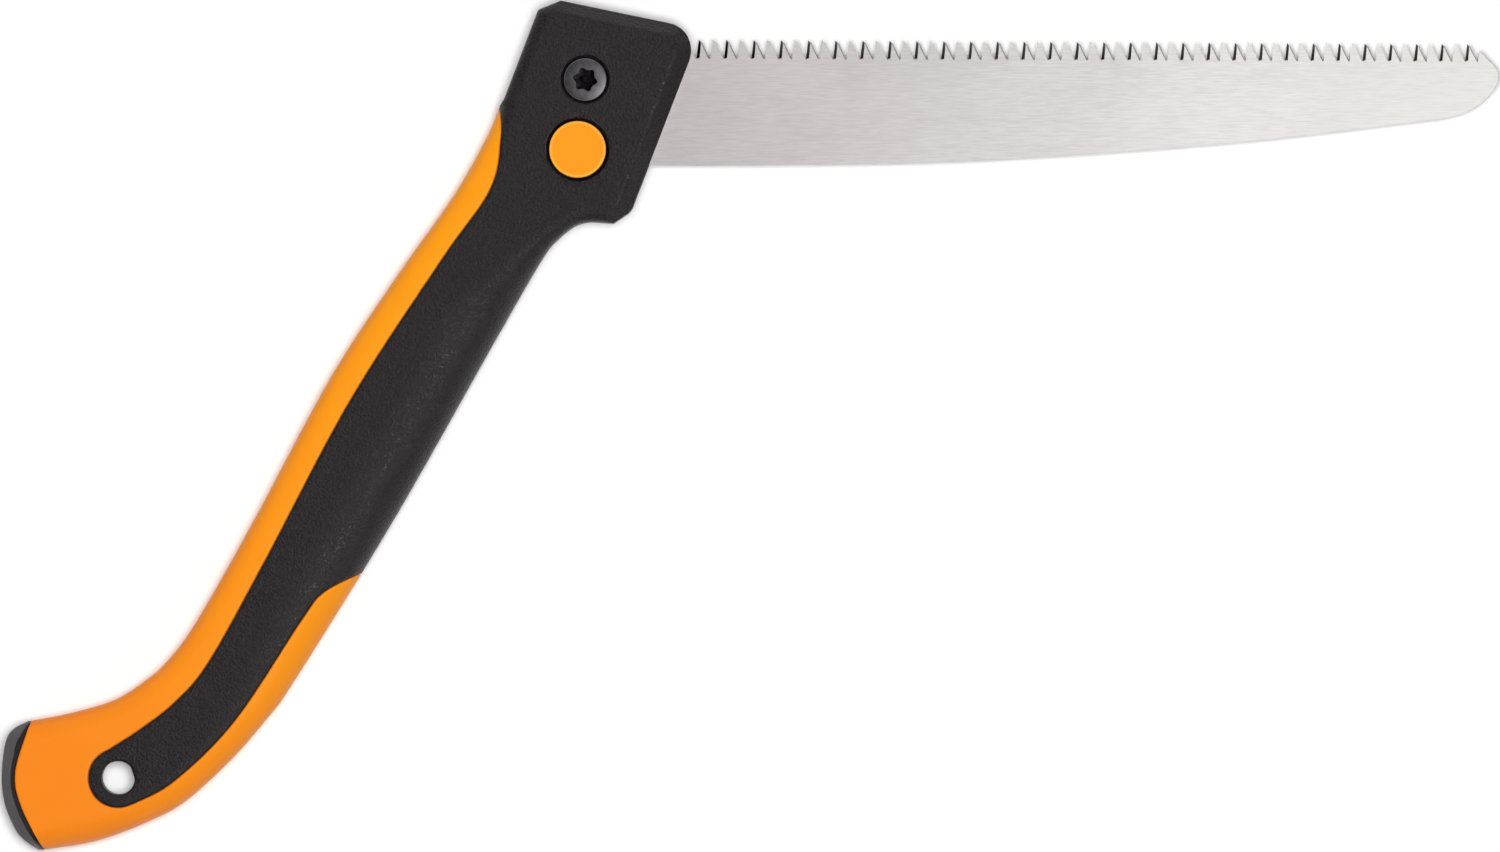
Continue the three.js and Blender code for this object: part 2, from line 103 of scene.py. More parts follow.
# Outlines in plan, from the head towards the tail.
HEAD_TOP = [(4.0, 22.74), (26.9, 18.0)]
HEAD_CORNER = [(26.9, 18.0), (32.5, 16.8), (35.0, 11.0), (32.9, 5.7)]
HEAD_SIDE = [(32.9, 5.7), (14.9, -40.9), (13.6, -42.5), (8.9, -45.6), (1.4, -45.1)]
HEAD_LEFT = [(-27.3, -8.4), (-25.8, -6.0), (-15.0, 22.3), (-7.8, 25.2), (4.0, 22.74)]
FINGER_EDGE = [
    (-27.3, -8.4), (-31.1, -17.7), (-41.9, -36.8), (-60.7, -63.5), (-81.5, -95.4), (-105.4, -140),
    (-123.5, -171.9), (-132.8, -184.7), (-139.8, -191), (-150, -197.4), (-164, -201.6), (-176.3, -204),
]
PALM_EDGE = [
    (1.4, -45.1), (-3.4, -46.5), (-8.8, -50.8), (-13.9, -57.2), (-28.6, -82.7), (-61.1, -140),
    (-92.6, -191), (-101.9, -203.8), (-113, -216.5), (-127, -229.3), (-138.2, -235.6),
    (-155.1, -242), (-172.3, -245),
]
TAIL_EDGE = [(-172.3, -245), (-179.5, -230.8), (-181.2, -219.7), (-176.3, -204)]
CAP_EDGE = [(-174.3, -245), (-181.1, -238.8), (-185.5, -225.8), (-184, -209.3), (-177.5, -204)]
GRIP_FINGER = [
    (-27.3, -8.4), (-26.8, -18.3), (-30.2, -34.9), (-45.6, -57.2), (-74.6, -101.8), (-101.7, -152.8),
    (-119.4, -184.7), (-129.9, -197.4), (-141, -206.2), (-151.5, -213),
]
GRIP_PALM = [
    (-144, -230.4), (-130.5, -222.9), (-111.4, -203.8), (-90.2, -171.9), (-83.1, -163), (-70.9, -156.9),
]


# ---- lines in plan ---------------------------------------------------------------------
def through(points, per=10):
    """Smooth curve through the points (Catmull-Rom), `per` samples to a span."""
    p = np.asarray(points, float)
    q = np.vstack([p[:1], p, p[-1:]])
    a, b, c, d = (q[k:len(p) - 1 + k, None] for k in range(4))
    t = np.linspace(0, 1, per, endpoint=False)[None, :, None]
    curve = 2 * b + (c - a) * t + (2 * a - 5 * b + 4 * c - d) * t**2 + (3 * b - a - 3 * c + d) * t**3
    return np.vstack([curve.reshape(-1, 2) / 2, p[-1:]])


def bezier(points, count=12):
    """Cubic curve with two end points and two handles."""
    a, b, c, d = np.asarray(points, float)[:, None]
    t = np.linspace(0, 1, count)[:, None]
    return a * (1 - t) ** 3 + 3 * b * t * (1 - t) ** 2 + 3 * c * t**2 * (1 - t) + d * t**3


def straight(points, step=1.0):
    """Polyline with a vertex at least every `step`."""
    p = np.asarray(points, float)
    parts = []
    for a, b in zip(p[:-1], p[1:]):
        n = max(1, math.ceil(np.hypot(*(b - a)) / step))
        parts.append(a + (b - a) * np.linspace(0, 1, n, endpoint=False)[:, None])
    return np.vstack([*parts, p[-1:]])


def arc(centre, radius, start, end, count):
    """Points on a circle between two angles in degrees, the last one left out."""
    a = np.radians(np.linspace(start, end, count, endpoint=False))
    return centre + radius * np.column_stack([np.cos(a), np.sin(a)])


def chain(*lines):
    """Lines joined end to end without their doubled points."""
    joined = np.vstack(lines)
    keep = np.r_[True, np.hypot(*np.diff(joined, axis=0).T) > 1e-6]
    return joined[keep]


def resample(line, count):
    """`count` points evenly along a polyline, the last one left out."""
    reach = np.r_[0, np.cumsum(np.hypot(*np.diff(line, axis=0).T))]
    at = np.linspace(0, reach[-1], count, endpoint=False)
    return np.column_stack([np.interp(at, reach, line[:, k]) for k in (0, 1)])


def angle(vector):
    """Direction of a vector, in degrees from +X."""
    return math.degrees(math.atan2(vector[1], vector[0]))


def distance(points, line, chunk=20000):
    """Distance of each point to a polyline: the least over its segments."""
    flat = points.reshape(-1, 2)
    a, d = line[:-1], np.diff(line, axis=0)
    out = []
    for part in np.array_split(flat, max(1, len(flat) // chunk)):
        rel = part[:, None] - a
        t = np.clip((rel * d).sum(2) / (d * d).sum(1), 0, 1)
        out.append(np.hypot(*np.moveaxis(rel - t[..., None] * d, 2, 0)).min(1))
    return np.concatenate(out).reshape(points.shape[:-1])


def smooth(x, low, high):
    """0 below `low`, 1 above `high`, an S-curve between."""
    t = np.clip((x - low) / (high - low), 0, 1)
    return t * t * (3 - 2 * t)


# Lines that the handle's surface falls away from.
TOP_LINE = chain(straight([HEAD_LEFT[3], HEAD_TOP[1]]), bezier(HEAD_CORNER)[:6])
SIDE_LINE = chain(bezier(HEAD_CORNER)[5:], straight(HEAD_SIDE[:2]))
FOOT_LINE = straight(HEAD_SIDE[1:4])
LEFT_LINE = straight([HEAD_LEFT[0], HEAD_LEFT[1], HEAD_LEFT[2], HEAD_LEFT[3]])
FINGER_LINE = through(FINGER_EDGE)
PALM_LINE = chain(straight(HEAD_SIDE[3:]), through(PALM_EDGE))
TAIL_LINE = through(TAIL_EDGE)
HEAD_RIGHT = chain(straight(HEAD_TOP), bezier(HEAD_CORNER), straight(HEAD_SIDE), through(PALM_EDGE))

HANDLE_LINE = chain(HEAD_RIGHT, TAIL_LINE, FINGER_LINE[::-1], straight(HEAD_LEFT))


# ---- the height of the handle's face -----------------------------------------------------
def chamfer(d, width, fall, soft=0.2):
    """Straight bevel of the given width; `soft` is the share of it that eases in from the face."""
    x = np.clip(1 - d / width, 0, 1)
    return fall * np.where(x < soft, x * x / (2 * soft), x - soft / 2) / (1 - soft / 2)


def roundover(d, width, fall, ease=2.0):
    """Quarter ellipse: flat at `width` from the edge, upright at the edge. An `ease` above 2
    lets it start more gently."""
    x = np.clip(1 - d / width, 0, 1)
    return fall * (1 - np.sqrt(np.clip(1 - x**ease, 0, 1)))


def face_height(p):
    """Half thickness of the handle at plan points: the flat face less what each edge takes off.
    Edges that meet are blended by a power mean of their falls. The palm side is rounded most
    along the grip, less at the head and the tail."""
    neck = smooth(-p[..., 1], 42, 78)
    tail = smooth(-p[..., 1], 160, 215)
    palm_width, palm_fall = 5 + 16 * neck - 9 * tail, 3.5 + 9.1 * neck - 2 * tail
    falls = [
        roundover(distance(p, PALM_LINE), palm_width, palm_fall, 2.7),
        roundover(distance(p, FINGER_LINE), 6.0, 6.5 - 1.5 * tail, 2.4),
        chamfer(distance(p, TOP_LINE), 4.2, 3.2),
        chamfer(distance(p, SIDE_LINE), 5.2, 4.2),
        chamfer(distance(p, FOOT_LINE), 4.5, 3.6),
        roundover(distance(p, LEFT_LINE), 4.0, 3.2),
        roundover(distance(p, TAIL_LINE), 1.0, 0.6),
    ]
    power, least = 6, 0.3
    total = sum(f**power for f in falls) ** (1 / power)
    return HALF - np.minimum(total, HALF - least)


# ---- matched outlines of a handle half ------------------------------------------------
def crossing(line, origin, direction):
    """Where a ray from the origin first crosses a closed polyline."""
    d = np.diff(line, axis=0)
    rel = line[:-1] - origin
    cross = direction[0] * d[:, 1] - direction[1] * d[:, 0]
    cross = np.where(np.abs(cross) < 1e-12, 1e-12, cross)
    t = (rel[:, 0] * d[:, 1] - rel[:, 1] * d[:, 0]) / cross
    s = (rel[:, 0] * direction[1] - rel[:, 1] * direction[0]) / cross
    t = np.where((s >= 0) & (s <= 1) & (t > 0), t, np.inf)
    return origin + direction * t.min()


def nearest(points, place):
    """Index of the point nearest to a place."""
    return int(np.argmin(np.hypot(*(points - place).T)))


def stretch(line, start, end, count):
    """`count` points of a closed clockwise outline from one place to another, evenly spaced."""
    ring = line[:-1] if np.allclose(line[0], line[-1]) else line
    i, j = nearest(ring, start), nearest(ring, end)
    if j <= i:
        j += len(ring)
    part = ring[np.arange(i, j + 1) % len(ring)].copy()
    part[0], part[-1] = start, end
    return resample(chain(part), count)


FOLD = math.radians(frame["joints"][0]["range_deg"][1])
FOLDED = np.array([[math.cos(FOLD), math.sin(FOLD)], [-math.sin(FOLD), math.cos(FOLD)]])
NOSE_REACH = 292.3
SLOT_DEPTH = 13.8  # across the folded blade, past the tooth tips
SPINE_REST = -27.2

CUSP = PALM_LINE[nearest(PALM_LINE, GRIP_PALM[-1])]
PALM_TO_CUSP = chain(HEAD_RIGHT[:nearest(HEAD_RIGHT, CUSP)], [CUSP])
PANEL_FROM, PANEL_TO = angle(GRIP_PALM[0] - HANG_HOLE), angle(GRIP_FINGER[-1] - HANG_HOLE) - 360
GRIP_LINE = chain(
    PALM_TO_CUSP,
    through([*GRIP_PALM[:-1], CUSP])[::-1],
    arc(HANG_HOLE, PANEL_RADIUS, PANEL_FROM, PANEL_TO, 60),
    through(GRIP_FINGER)[::-1],
    straight(HEAD_LEFT),
)

# The stops of the line down the middle of a half: centre, hole radius (0 for none), depth of the
# hole, outline corners that the two sides of the line are matched with there, and the direction
# towards the finger side ("ray") where it isn't square to the line.
FAR = 176.0  # direction from the hanging hole to the middle of the tail
MIDDLE_STEP = 0.75  # between points of the line down the middle
FOOT = {"palm in": HEAD_SIDE[3]}
STRIP_END = {"palm in": CUSP}
LOCK_PINS = {"finger in": HEAD_LEFT[0], "palm out": HEAD_SIDE[1], "ray": 176}
TAIL_STOP = ((-119, -197), 0, 0, {})
ROUTE = {
    "front": [
        (PIVOT, BOLT_RECESS, BOLT_DEPTH, {}),
        (LOCK, BUTTON_WELL, BUTTON_DEPTH, LOCK_PINS),
        ((-12, -38), 0, 0, {**FOOT, "ray": 173}),
        ((-22, -49), 0, 0, {"ray": 166}),
        ((-38, -72), 0, 0, {}),
        ((-60, -107), 0, 0, {}),
        ((-85.5, -149), 0, 0, STRIP_END),
        ((-94, -161), 0, 0, {}),
        TAIL_STOP,
        (HANG_HOLE, HANG_RADIUS, HALF, {}),
    ],
    "back": [
        (PIVOT, NUT_RECESS, NUT_DEPTH, {"finger out": HEAD_LEFT[0]}),
        ((-7.6, -30.6), 0, 0, {"palm in": HEAD_SIDE[1]}),
        ((-12, -38), 0, 0, FOOT),
        ((-20, -50), 0, 0, {}),
        (SCREWS[0], SCREW_RECESS, SCREW_DEPTH, {}),
        (SCREWS[1], SCREW_RECESS, SCREW_DEPTH, {}),
        ((-84, -149), 0, 0, STRIP_END),
        ((-92, -161), 0, 0, {}),
        (SCREWS[2], SCREW_RECESS, SCREW_DEPTH, {}),
        TAIL_STOP,
        (HANG_HOLE, HANG_RADIUS_BACK, HALF, {}),
    ],
}
STOP_PIN = middle("blade_stop_pin")
HEAD_CENTRE = HEAD_TOP[0]
TAIL_CORNERS = {"palm": PALM_EDGE[-1], "finger": FINGER_EDGE[-1]}


def unit(vector):
    """The vector scaled to length 1."""
    return np.asarray(vector, float) / np.hypot(*vector)


def towards(degrees):
    """Unit vector at an angle from +X."""
    return np.array([math.cos(math.radians(degrees)), math.sin(math.radians(degrees))])


def side_spans(stops, side):
    """The inner line on one side of a half, as spans between landmarks: each has its points, a
    ray towards the outline from its end, a corner that the ray may be replaced by, and the hole
    that the points go round. The palm side goes clockwise round each hole, the finger side the
    other way, and between holes both follow the same straight lines."""
    turn = -1 if side == "palm" else 1
    centres = [np.asarray(s[0], float) for s in stops]
    ways = [unit(b - a) for a, b in zip(centres[:-1], centres[1:])]
    ways = [ways[0], *ways, towards(FAR)]
    level = [unit(a + b) for a, b in zip(ways[:-1], ways[1:])]
    square = [angle((v[1], -v[0])) for v in level]
    rays = [turn * towards(stop[3].get("ray", a)) for stop, a in zip(stops, square)]
    spans = []
    for k, (_, radius, _, pins) in enumerate(stops):
        centre, behind, ahead = centres[k], ways[k], ways[k + 1]
        if radius:
            start, end = angle(-behind), angle(ahead)
            end = start + turn * ((turn * (end - start)) % 360)
            bends = [start, end]
            if k == len(stops) - 1:
                mark = angle(TAIL_CORNERS[side] - HANG_HOLE)
                bends.insert(1, start + turn * ((turn * (mark - start)) % 360))
            for a, b in zip(bends[:-1], bends[1:]):
                per_degree = 0.34 if radius > 4 else 0.12
                count = max(10, int(abs(b - a) * per_degree))
                across = towards(b) if k == len(stops) - 1 else rays[k]
                pin = pins.get(f"{side} out") if b == bends[-1] else "tail"
                end_point = centre + radius * towards(b)
                spans.append((arc(centre, radius, a, b, count), end_point, across, pin, k))
        if k < len(stops) - 1:
            a = centre + radius * ahead
            b = centres[k + 1] - stops[k + 1][1] * ahead
            count = max(2, int(np.hypot(*(b - a)) / MIDDLE_STEP))
            points = a + (b - a) * np.linspace(0, 1, count, endpoint=False)[:, None]
            spans.append((points, b, rays[k + 1], stops[k + 1][3].get(f"{side} in"), None))
    return spans


def matched(stops, line, tail_pinned):
    """Points of a closed outline matched one to one with the inner line, as a loop that goes
    down the palm side and back up the finger side. Also the inner loop, and for each step of the
    loop the hole that its inner edge follows, or -1."""
    outer, inner, hole = [], [], []
    for side in ("palm", "finger"):
        ring = line if side == "palm" else line[::-1]
        at = np.asarray(HEAD_CENTRE, float)
        rim, core, owner = [], [], []
        for points, origin, across, pin, k in side_spans(stops, side):
            if isinstance(pin, str):
                pin = TAIL_CORNERS[side] if tail_pinned else None
            target = crossing(line, origin, across) if pin is None else np.asarray(pin, float)
            rim.append(stretch(ring, at, target, len(points)))
            core.append(points)
            owner += [-1 if k is None else k] * len(points)
            at = target
        rim, core = np.vstack(rim), np.vstack(core)
        if side == "palm":
            outer, inner, hole = [rim, at[None]], [core, origin[None]], [owner]
        else:
            outer.append(rim[:0:-1])
            inner.append(core[:0:-1])
            hole.append(owner[::-1])
    return np.vstack(outer), np.vstack(inner), np.concatenate(hole)


def in_slot(p):
    """Where the folded blade needs the two halves apart."""
    across = p @ FOLDED[1]
    return (np.hypot(*p.T) < NOSE_REACH) & ((across < SLOT_DEPTH) | (p[:, 1] > SPINE_REST))


# ---- meshes ------------------------------------------------------------------------------
def add_mesh(name, vertices, faces, sharp=32.0):
    """A closed mesh from millimetre points; doubled points are merged and creases kept crisp."""
    faces = unpaired(vertices, faces)
    mesh = bpy.data.meshes.new(name)
    mesh.from_pydata((vertices * MM).tolist(), [], faces if isinstance(faces, list) else faces.tolist())
    tidy(mesh, 2e-6)
    mesh.polygons.foreach_set("use_smooth", np.ones(len(mesh.polygons), bool))
    mesh.set_sharp_from_angle(angle=math.radians(sharp))
    obj = bpy.data.objects.new(name, mesh)
    bpy.context.scene.collection.objects.link(obj)
    return obj


def unpaired(vertices, faces):
    """The faces of a ring mesh without those that lie back to back on another one."""
    if isinstance(faces, list):
        return faces
    _, same = np.unique(np.round(vertices, 3), axis=0, return_inverse=True)
    corners_of = np.sort(same.ravel()[faces], axis=1)
    _, group, times = np.unique(corners_of, axis=0, return_inverse=True, return_counts=True)
    return faces[times[group.ravel()] == 1]


def tidy(mesh, reach):
    """Merges doubled points, drops collapsed faces and turns the faces outwards."""
    bm = bmesh.new()
    bm.from_mesh(mesh)
    bmesh.ops.remove_doubles(bm, verts=bm.verts, dist=reach)
    bmesh.ops.dissolve_degenerate(bm, edges=bm.edges, dist=reach)
    bmesh.ops.recalc_face_normals(bm, faces=bm.faces)
    bm.to_mesh(mesh)
    bm.free()


def ring_faces(rows, count, closing=None):
    """Quads between consecutive rings of `count` points; `closing` marks the steps where the
    last ring is joined to the first."""
    u = np.arange(count)
    v = (u + 1) % count
    bands = [np.column_stack([u + r * count, v + r * count, v + (r + 1) * count, u + (r + 1) * count])
             for r in range(rows - 1)]
    if closing is not None:
        last = (rows - 1) * count
        bands.append(np.column_stack([u + last, v + last, v, u])[closing])
    return np.vstack(bands)


def stacked(rows, side):
    """Rings of (plan points, height over the parting plane) as one array of points."""
    up = 1 if side == "front" else -1
    return np.vstack([np.column_stack([p, MID + up * np.broadcast_to(h, len(p))]) for p, h in rows])


def both_ends(count):
    """Fractions from 0 to 1, closer together at both ends."""
    return (1 - np.cos(np.pi * np.linspace(0, 1, count))) / 2


def half_outlines(side, wider=0.0):
    """The stops with their holes made wider, the matched outlines of the grip and the handle, the
    inner loop, the hole at each of its steps, the outward directions, and how far the hard core
    shows outside the grip (0 where the grip wraps the edge)."""
    stops = [(c, r and r + wider, depth, pins) for c, r, depth, pins in ROUTE[side]]
    edge, inner, hole = matched(stops, GRIP_LINE, False)
    handle, _, _ = matched(stops, HANDLE_LINE, True)
    shown = smooth(np.hypot(*(handle - edge).T), 0.02, 1.2)
    return stops, edge, handle, inner, hole, unit_rows(edge - inner), shown


def hole_lips(points, stops):
    """How much the edges of the holes are rounded off."""
    fall = 0
    for centre, radius, depth, _ in stops:
        if radius:
            d = np.hypot(*np.moveaxis(points - centre, -1, 0)) - radius
            lip = HOLE_LIP * (HANG_LIP if depth == HALF else 1)
            fall = fall + roundover(d, lip, lip)
    return fall


def throats(side, stops, inner, hole, bores):
    """The inner line drawn in to the bores under the recesses, whether each point is on a hole,
    and how deep that hole is."""
    owner = np.maximum(hole, np.roll(hole, 1))
    bored = owner >= 0
    centre = np.array([s[0] for s in stops], float)[owner]
    radius = np.array([s[1] for s in stops])
    bore = np.array([bores.get(plain[1], s[1]) for plain, s in zip(ROUTE[side], stops)])
    shrink = np.where(bored, bore[owner] / np.maximum(radius[owner], 1e-9), 1.0)[:, None]
    depth = np.array([s[2] for s in stops])[owner]
    return np.where(bored[:, None], centre + (inner - centre) * shrink, inner), bored, depth


def soft_grip(side):
    """Rings from the holes and middle line out to the grip's edge on the crowned face, then down
    the wrapped wall, in by the skin's thickness, and back under the skin to the linings, which
    have a thin floor in each blind recess."""
    stops, edge, _, inner, hole, out, shown = half_outlines(side)
    throat, on_hole, depth = throats(side, stops, inner, hole, {**BORES, SCREW_RECESS: SCREW_BORE})
    rows = []
    for f in both_ends(60):
        p = inner + (edge - inner) * f
        lip = roundover(np.hypot(*(edge - p).T), 0.9, 0.6) * shown
        rows.append((p, face_height(p) - hole_lips(p, stops) - lip))

    def underside(p):
        return np.maximum(face_height(p) - GRIP_SKIN, LEAST_FLOOR)

    wrap = shown < 0.5
    mouth = np.where(in_slot(edge), SLOT, PARTING)
    low = np.where(wrap, mouth, underside(edge))
    back = edge - out * np.where(wrap, GRIP_SKIN, 0.0)[:, None]
    wall = inner + out * np.where(on_hole, LINING, 0.0)[:, None]
    lining = np.where(on_hole, np.maximum(HALF - depth, PARTING), underside(inner))
    for step in (1, -1):
        beside = ~on_hole & np.roll(on_hole, step)
        lining = np.where(beside, np.roll(lining, step), lining)
    seat = lining + np.where(on_hole & (depth < HALF), SEAT, 0.0)
    top = rows[-1][1]
    rows += [
        (edge, top * 0.5 + low * 0.5), (edge, low), (back, low), (back, underside(back)),
        (wall, underside(wall)), (wall, lining), (throat, lining), (throat, seat), (inner, seat),
    ]
    faces = ring_faces(len(rows), len(inner), hole >= 0)
    return add_mesh(f"grip_skin_{side}", stacked(rows, side), faces)


def hard_core(side):
    """Rings from the bores and middle line over the recess floors, out under the skin, up the
    step at the grip's edge, over the bare face to the handle's edge, down the wall to the slot
    or the parting line, in to the end of the slot, and back."""
    stops, edge, handle, inner, hole, out, shown = half_outlines(side, CORE_HOLE_MARGIN)
    throat, bored, depth = throats(side, stops, inner, hole, BORES)

    def under_skin(p):
        return np.maximum(face_height(p) - GRIP_SKIN - SKIN_GAP, LEAST_FLOOR - SKIN_GAP)

    wrap = shown < 0.02
    hidden = edge - out * (GRIP_SKIN + SKIN_GAP)
    step = np.where(wrap[:, None], hidden, edge + out * 2 * SKIN_GAP)
    rim = np.where(wrap[:, None], hidden, handle)
    top = under_skin(inner)
    seat = np.where(bored & (depth < HALF), np.minimum(HALF - depth - SKIN_GAP / 2, top), top)
    rows = [(throat, seat), (inner, seat), (inner, top), (step, under_skin(step))]
    width = np.hypot(*(rim - step).T)
    lip_width = np.clip(width * 0.4, 0.05, 0.55)
    for f in both_ends(34):
        p = step + (rim - step) * f
        bare = face_height(p) - roundover(f * width, lip_width, 0.4)
        rows.append((p, np.where(wrap, under_skin(p), bare)))
    mouth = np.where(in_slot(rim), SLOT, PARTING)
    ledge = slot_end(rim, inner)
    top = rows[-1][1]
    rows += [
        (rim, top * 0.5 + mouth * 0.5), (rim, mouth), (ledge, mouth), (ledge, SLOT), (inner, SLOT),
        (throat, SLOT),
    ]
    faces = ring_faces(len(rows), len(inner), hole >= 0)
    core = add_mesh(f"core_shell_{side}", stacked(rows, side), faces)
    core = carved(core, arc(STOP_PIN, STOP_POCKET, 0, 360, 48), STOP_LOW, STOP_HIGH)
    if side == "back":
        core = carved(core, arc(LOCK, BORES[BUTTON_WELL], 0, 360, 60), LOCK_FLOOR, MID)
    return core


def slot_end(rim, inner):
    """On each line from the rim to the inner loop, the place just before it enters the slot."""
    share = np.linspace(0, 0.9, 46)
    across = rim + (inner - rim) * share[:, None, None]
    inside = in_slot(across.reshape(-1, 2)).reshape(len(share), -1)
    inside[-1] = True
    return rim + (inner - rim) * np.maximum(share[inside.argmax(0)] - 0.02, 0.01)[:, None]


def tail_cap():
    """A bevelled section carried along the tail: a dark flat band level with the handle's face,
    then a wide bevel down to the outer wall, the same on both faces; the blade's slot is cut
    through it."""
    count, joint, flat, most = 120, 0.1, HALF - 0.75, 3.4
    near = resample(TAIL_LINE, count + 1)
    far = resample(through(CAP_EDGE), count + 1)
    out = unit_rows(far - near)
    near = near + out * joint
    width = np.hypot(*(far - near).T)
    crown = face_height(near - out * 0.8) - joint
    bevel = np.minimum(3.5, width * 0.7)
    drop = most * np.minimum(crown / flat, 1)
    section = [(0, crown - 0.3), (0.25, crown)]
    for f in np.linspace(0, 0.92, 9):
        fall = 0.07 * smooth(f, 0, 0.1) + 0.5 * f
        section.append((width - bevel * (1 - f), crown - drop * fall))
    section += [(width - bevel * 0.02, crown - drop * 0.7), (width, crown - drop)]
    section += [(x, -z) for x, z in section[::-1]]
    rings = np.stack([
        np.column_stack([near + out * np.broadcast_to(x, count + 1)[:, None], MID + z])
        for x, z in section
    ])
    k, n = rings.shape[0], count + 1
    i, j = np.meshgrid(np.arange(k), np.arange(count), indexing="ij")
    a, b = i * n + j, ((i + 1) % k) * n + j
    faces = np.stack([a, b, b + 1, a + 1], -1).reshape(-1, 4).tolist()
    faces += [(np.arange(k) * n).tolist()[::-1], (np.arange(k) * n + count).tolist()]
    cap = add_mesh("tail_cap_shell", rings.reshape(-1, 3), faces)
    sweep = np.vstack([arc((0, 0), NOSE_REACH, 218, 240, 60), [(-150, -160)]])
    cap = carved(cap, sweep, MID - SLOT, MID + SLOT)
    # the band mark lets the material paint the bevel light grey as a painted highlight
    centres = of_faces(cap.data, "center")[:, None, :2] / MM
    gaps = np.hypot(*np.moveaxis(centres - near, 2, 0))
    in_band = gaps.min(1) < (width - bevel + joint)[gaps.argmin(1)]
    return marked(cap, "band", in_band)


def of_faces(mesh, what):
    """A vector of every face, such as its centre or normal."""
    values = np.empty(3 * len(mesh.polygons))
    mesh.polygons.foreach_get(what, values)
    return values.reshape(-1, 3)


def marked(obj, name, amount):
    """The object with an amount for each face that its material reads."""
    layer = obj.data.attributes.new(name, "FLOAT", "FACE")
    layer.data.foreach_set("value", amount.astype(np.float32))
    return obj


def unit_rows(vectors):
    """Each row scaled to length 1."""
    return vectors / np.maximum(np.hypot(*vectors.T), 1e-9)[:, None]


def carved(obj, plan, low, high):
    """The object with a straight-sided opening cut through it."""
    n = len(plan)
    points = np.vstack([np.column_stack([plan, np.full(n, z)]) for z in (low, high)])
    u = np.arange(n)
    sides = np.column_stack([u, (u + 1) % n, (u + 1) % n + n, u + n]).tolist()
    cutter = add_mesh("opening", points, sides + [u[::-1].tolist(), (u + n).tolist()])
    step = obj.modifiers.new("opening", "BOOLEAN")
    step.operation, step.object, step.solver = "DIFFERENCE", cutter, "EXACT"
    bpy.context.view_layer.update()
    done = obj.evaluated_get(bpy.context.evaluated_depsgraph_get())
    mesh = bpy.data.meshes.new_from_object(done)
    obj.modifiers.remove(step)
    obj.data = mesh
    bpy.data.objects.remove(cutter)
    return obj


def turned(name, centre, rows, count=180, sharp=32.0):
    """Rings about an upright axis, given as (radius, height) from bottom pole to top pole; a
    radius may be an array over the turn, so that the ring is lobed."""
    a = np.linspace(0, 2 * np.pi, count, endpoint=False)
    ring = np.column_stack([np.cos(a), np.sin(a)])
    points = np.vstack([
        np.column_stack([centre + ring * np.broadcast_to(r, count)[:, None], np.full(count, z)])
        for r, z in rows
    ])
    return add_mesh(name, points, ring_faces(len(rows), count), sharp)


def rounded(radius, high, cut, steps):
    """(radius, height) pairs round an upper outer edge: a quarter circle of the given size."""
    t = np.radians(np.linspace(0, 90, steps))
    return [(radius - cut * (1 - math.cos(x)), high - cut * (1 - math.sin(x))) for x in t]


def star(count, inner, lobe, turn_deg):
    """Radius of a six-lobed socket over the turn."""
    a = np.linspace(0, 2 * np.pi, count, endpoint=False) - math.radians(turn_deg)
    return inner + lobe * (0.5 + 0.5 * np.cos(6 * a)) ** 1.5


def pivot_bolt():
    """Shank, seat, rounded head, and a six-lobed socket with a post in its middle."""
    count = 240
    socket = star(count, 3.05, 0.8, -12)
    top = corners("pivot_bolt")[1][2]
    return turned("pivot_bolt_head", PIVOT, [
        (0, 3.8), (3.5, 3.8), (4, 4.3), (4, 22.2), (6.9, 22.2), (7.1, 22.4),
        (7.1, top - 0.62), (7.02, top - 0.5), (6.62, top - 0.06), (6.5, top),
        (socket + 0.16, top), (socket, top - 0.14), (socket, top - 2.5), (socket * 0.9, top - 2.6),
        (1.15, top - 2.6), (1, top - 2.5), (1, top - 0.5), (0.8, top - 0.35), (0, top - 0.35),
    ], count)


def pivot_nut():
    """Flat head with a shallow six-lobed socket, and a barrel that the bolt's shank enters."""
    count = 240
    socket = star(count, 2.6, 0.6, 0)
    return turned("pivot_nut_cap", PIVOT, [
        (0, 1.7), (socket * 0.9, 1.7), (socket, 1.6), (socket, 0.12), (socket + 0.14, 0), (6.6, 0),
        (7.0, 0.35), (7.1, 0.5), (7.1, 2.2), (6, 2.2), (6, 7.9), (4.3, 7.9), (4.3, 3.2), (0, 3.2),
    ], count)


def lock_spring():
    """A wire swept along a coil: round section, rising gently at both ends."""
    low, high = corners("lock_spring")
    wire, sides, steps, turns = 0.3, 12, 360, 3
    radius = (high[0] - low[0]) / 2 - wire
    t = np.linspace(0, 1, steps)
    a = 2 * np.pi * turns * t
    rise = low[2] + wire + (high[2] - low[2] - 2 * wire) * smooth(t, 0, 1)
    out = np.column_stack([np.cos(a), np.sin(a), 0 * a])
    axis = np.column_stack([LOCK[0] + 0 * a, LOCK[1] + 0 * a, rise])
    b = np.linspace(0, 2 * np.pi, sides, endpoint=False)
    ring = out[:, None] * np.cos(b)[:, None] + np.array([0, 0, 1]) * np.sin(b)[:, None]
    points = ((axis + radius * out)[:, None] + wire * ring).reshape(-1, 3)
    faces = ring_faces(steps, sides).tolist()
    faces += [list(range(sides))[::-1], list(range((steps - 1) * sides, steps * sides))]
    return add_mesh("lock_coil", points, faces)


def lock_button():
    """Disc with a rounded upper edge and a hole from below for the plunger's stem."""
    top = corners("lock_button")[1][2]
    rim = rounded(9.0, top - 0.12, 0.4, 6)
    return turned("lock_button_cap", LOCK, [
        (0, 26), (2.8, 26), (2.8, 21.4), (8.8, 21.4), (9, 21.6), *rim, (8.4, top), (8.2, top), (0, top),
    ], 240, 50)


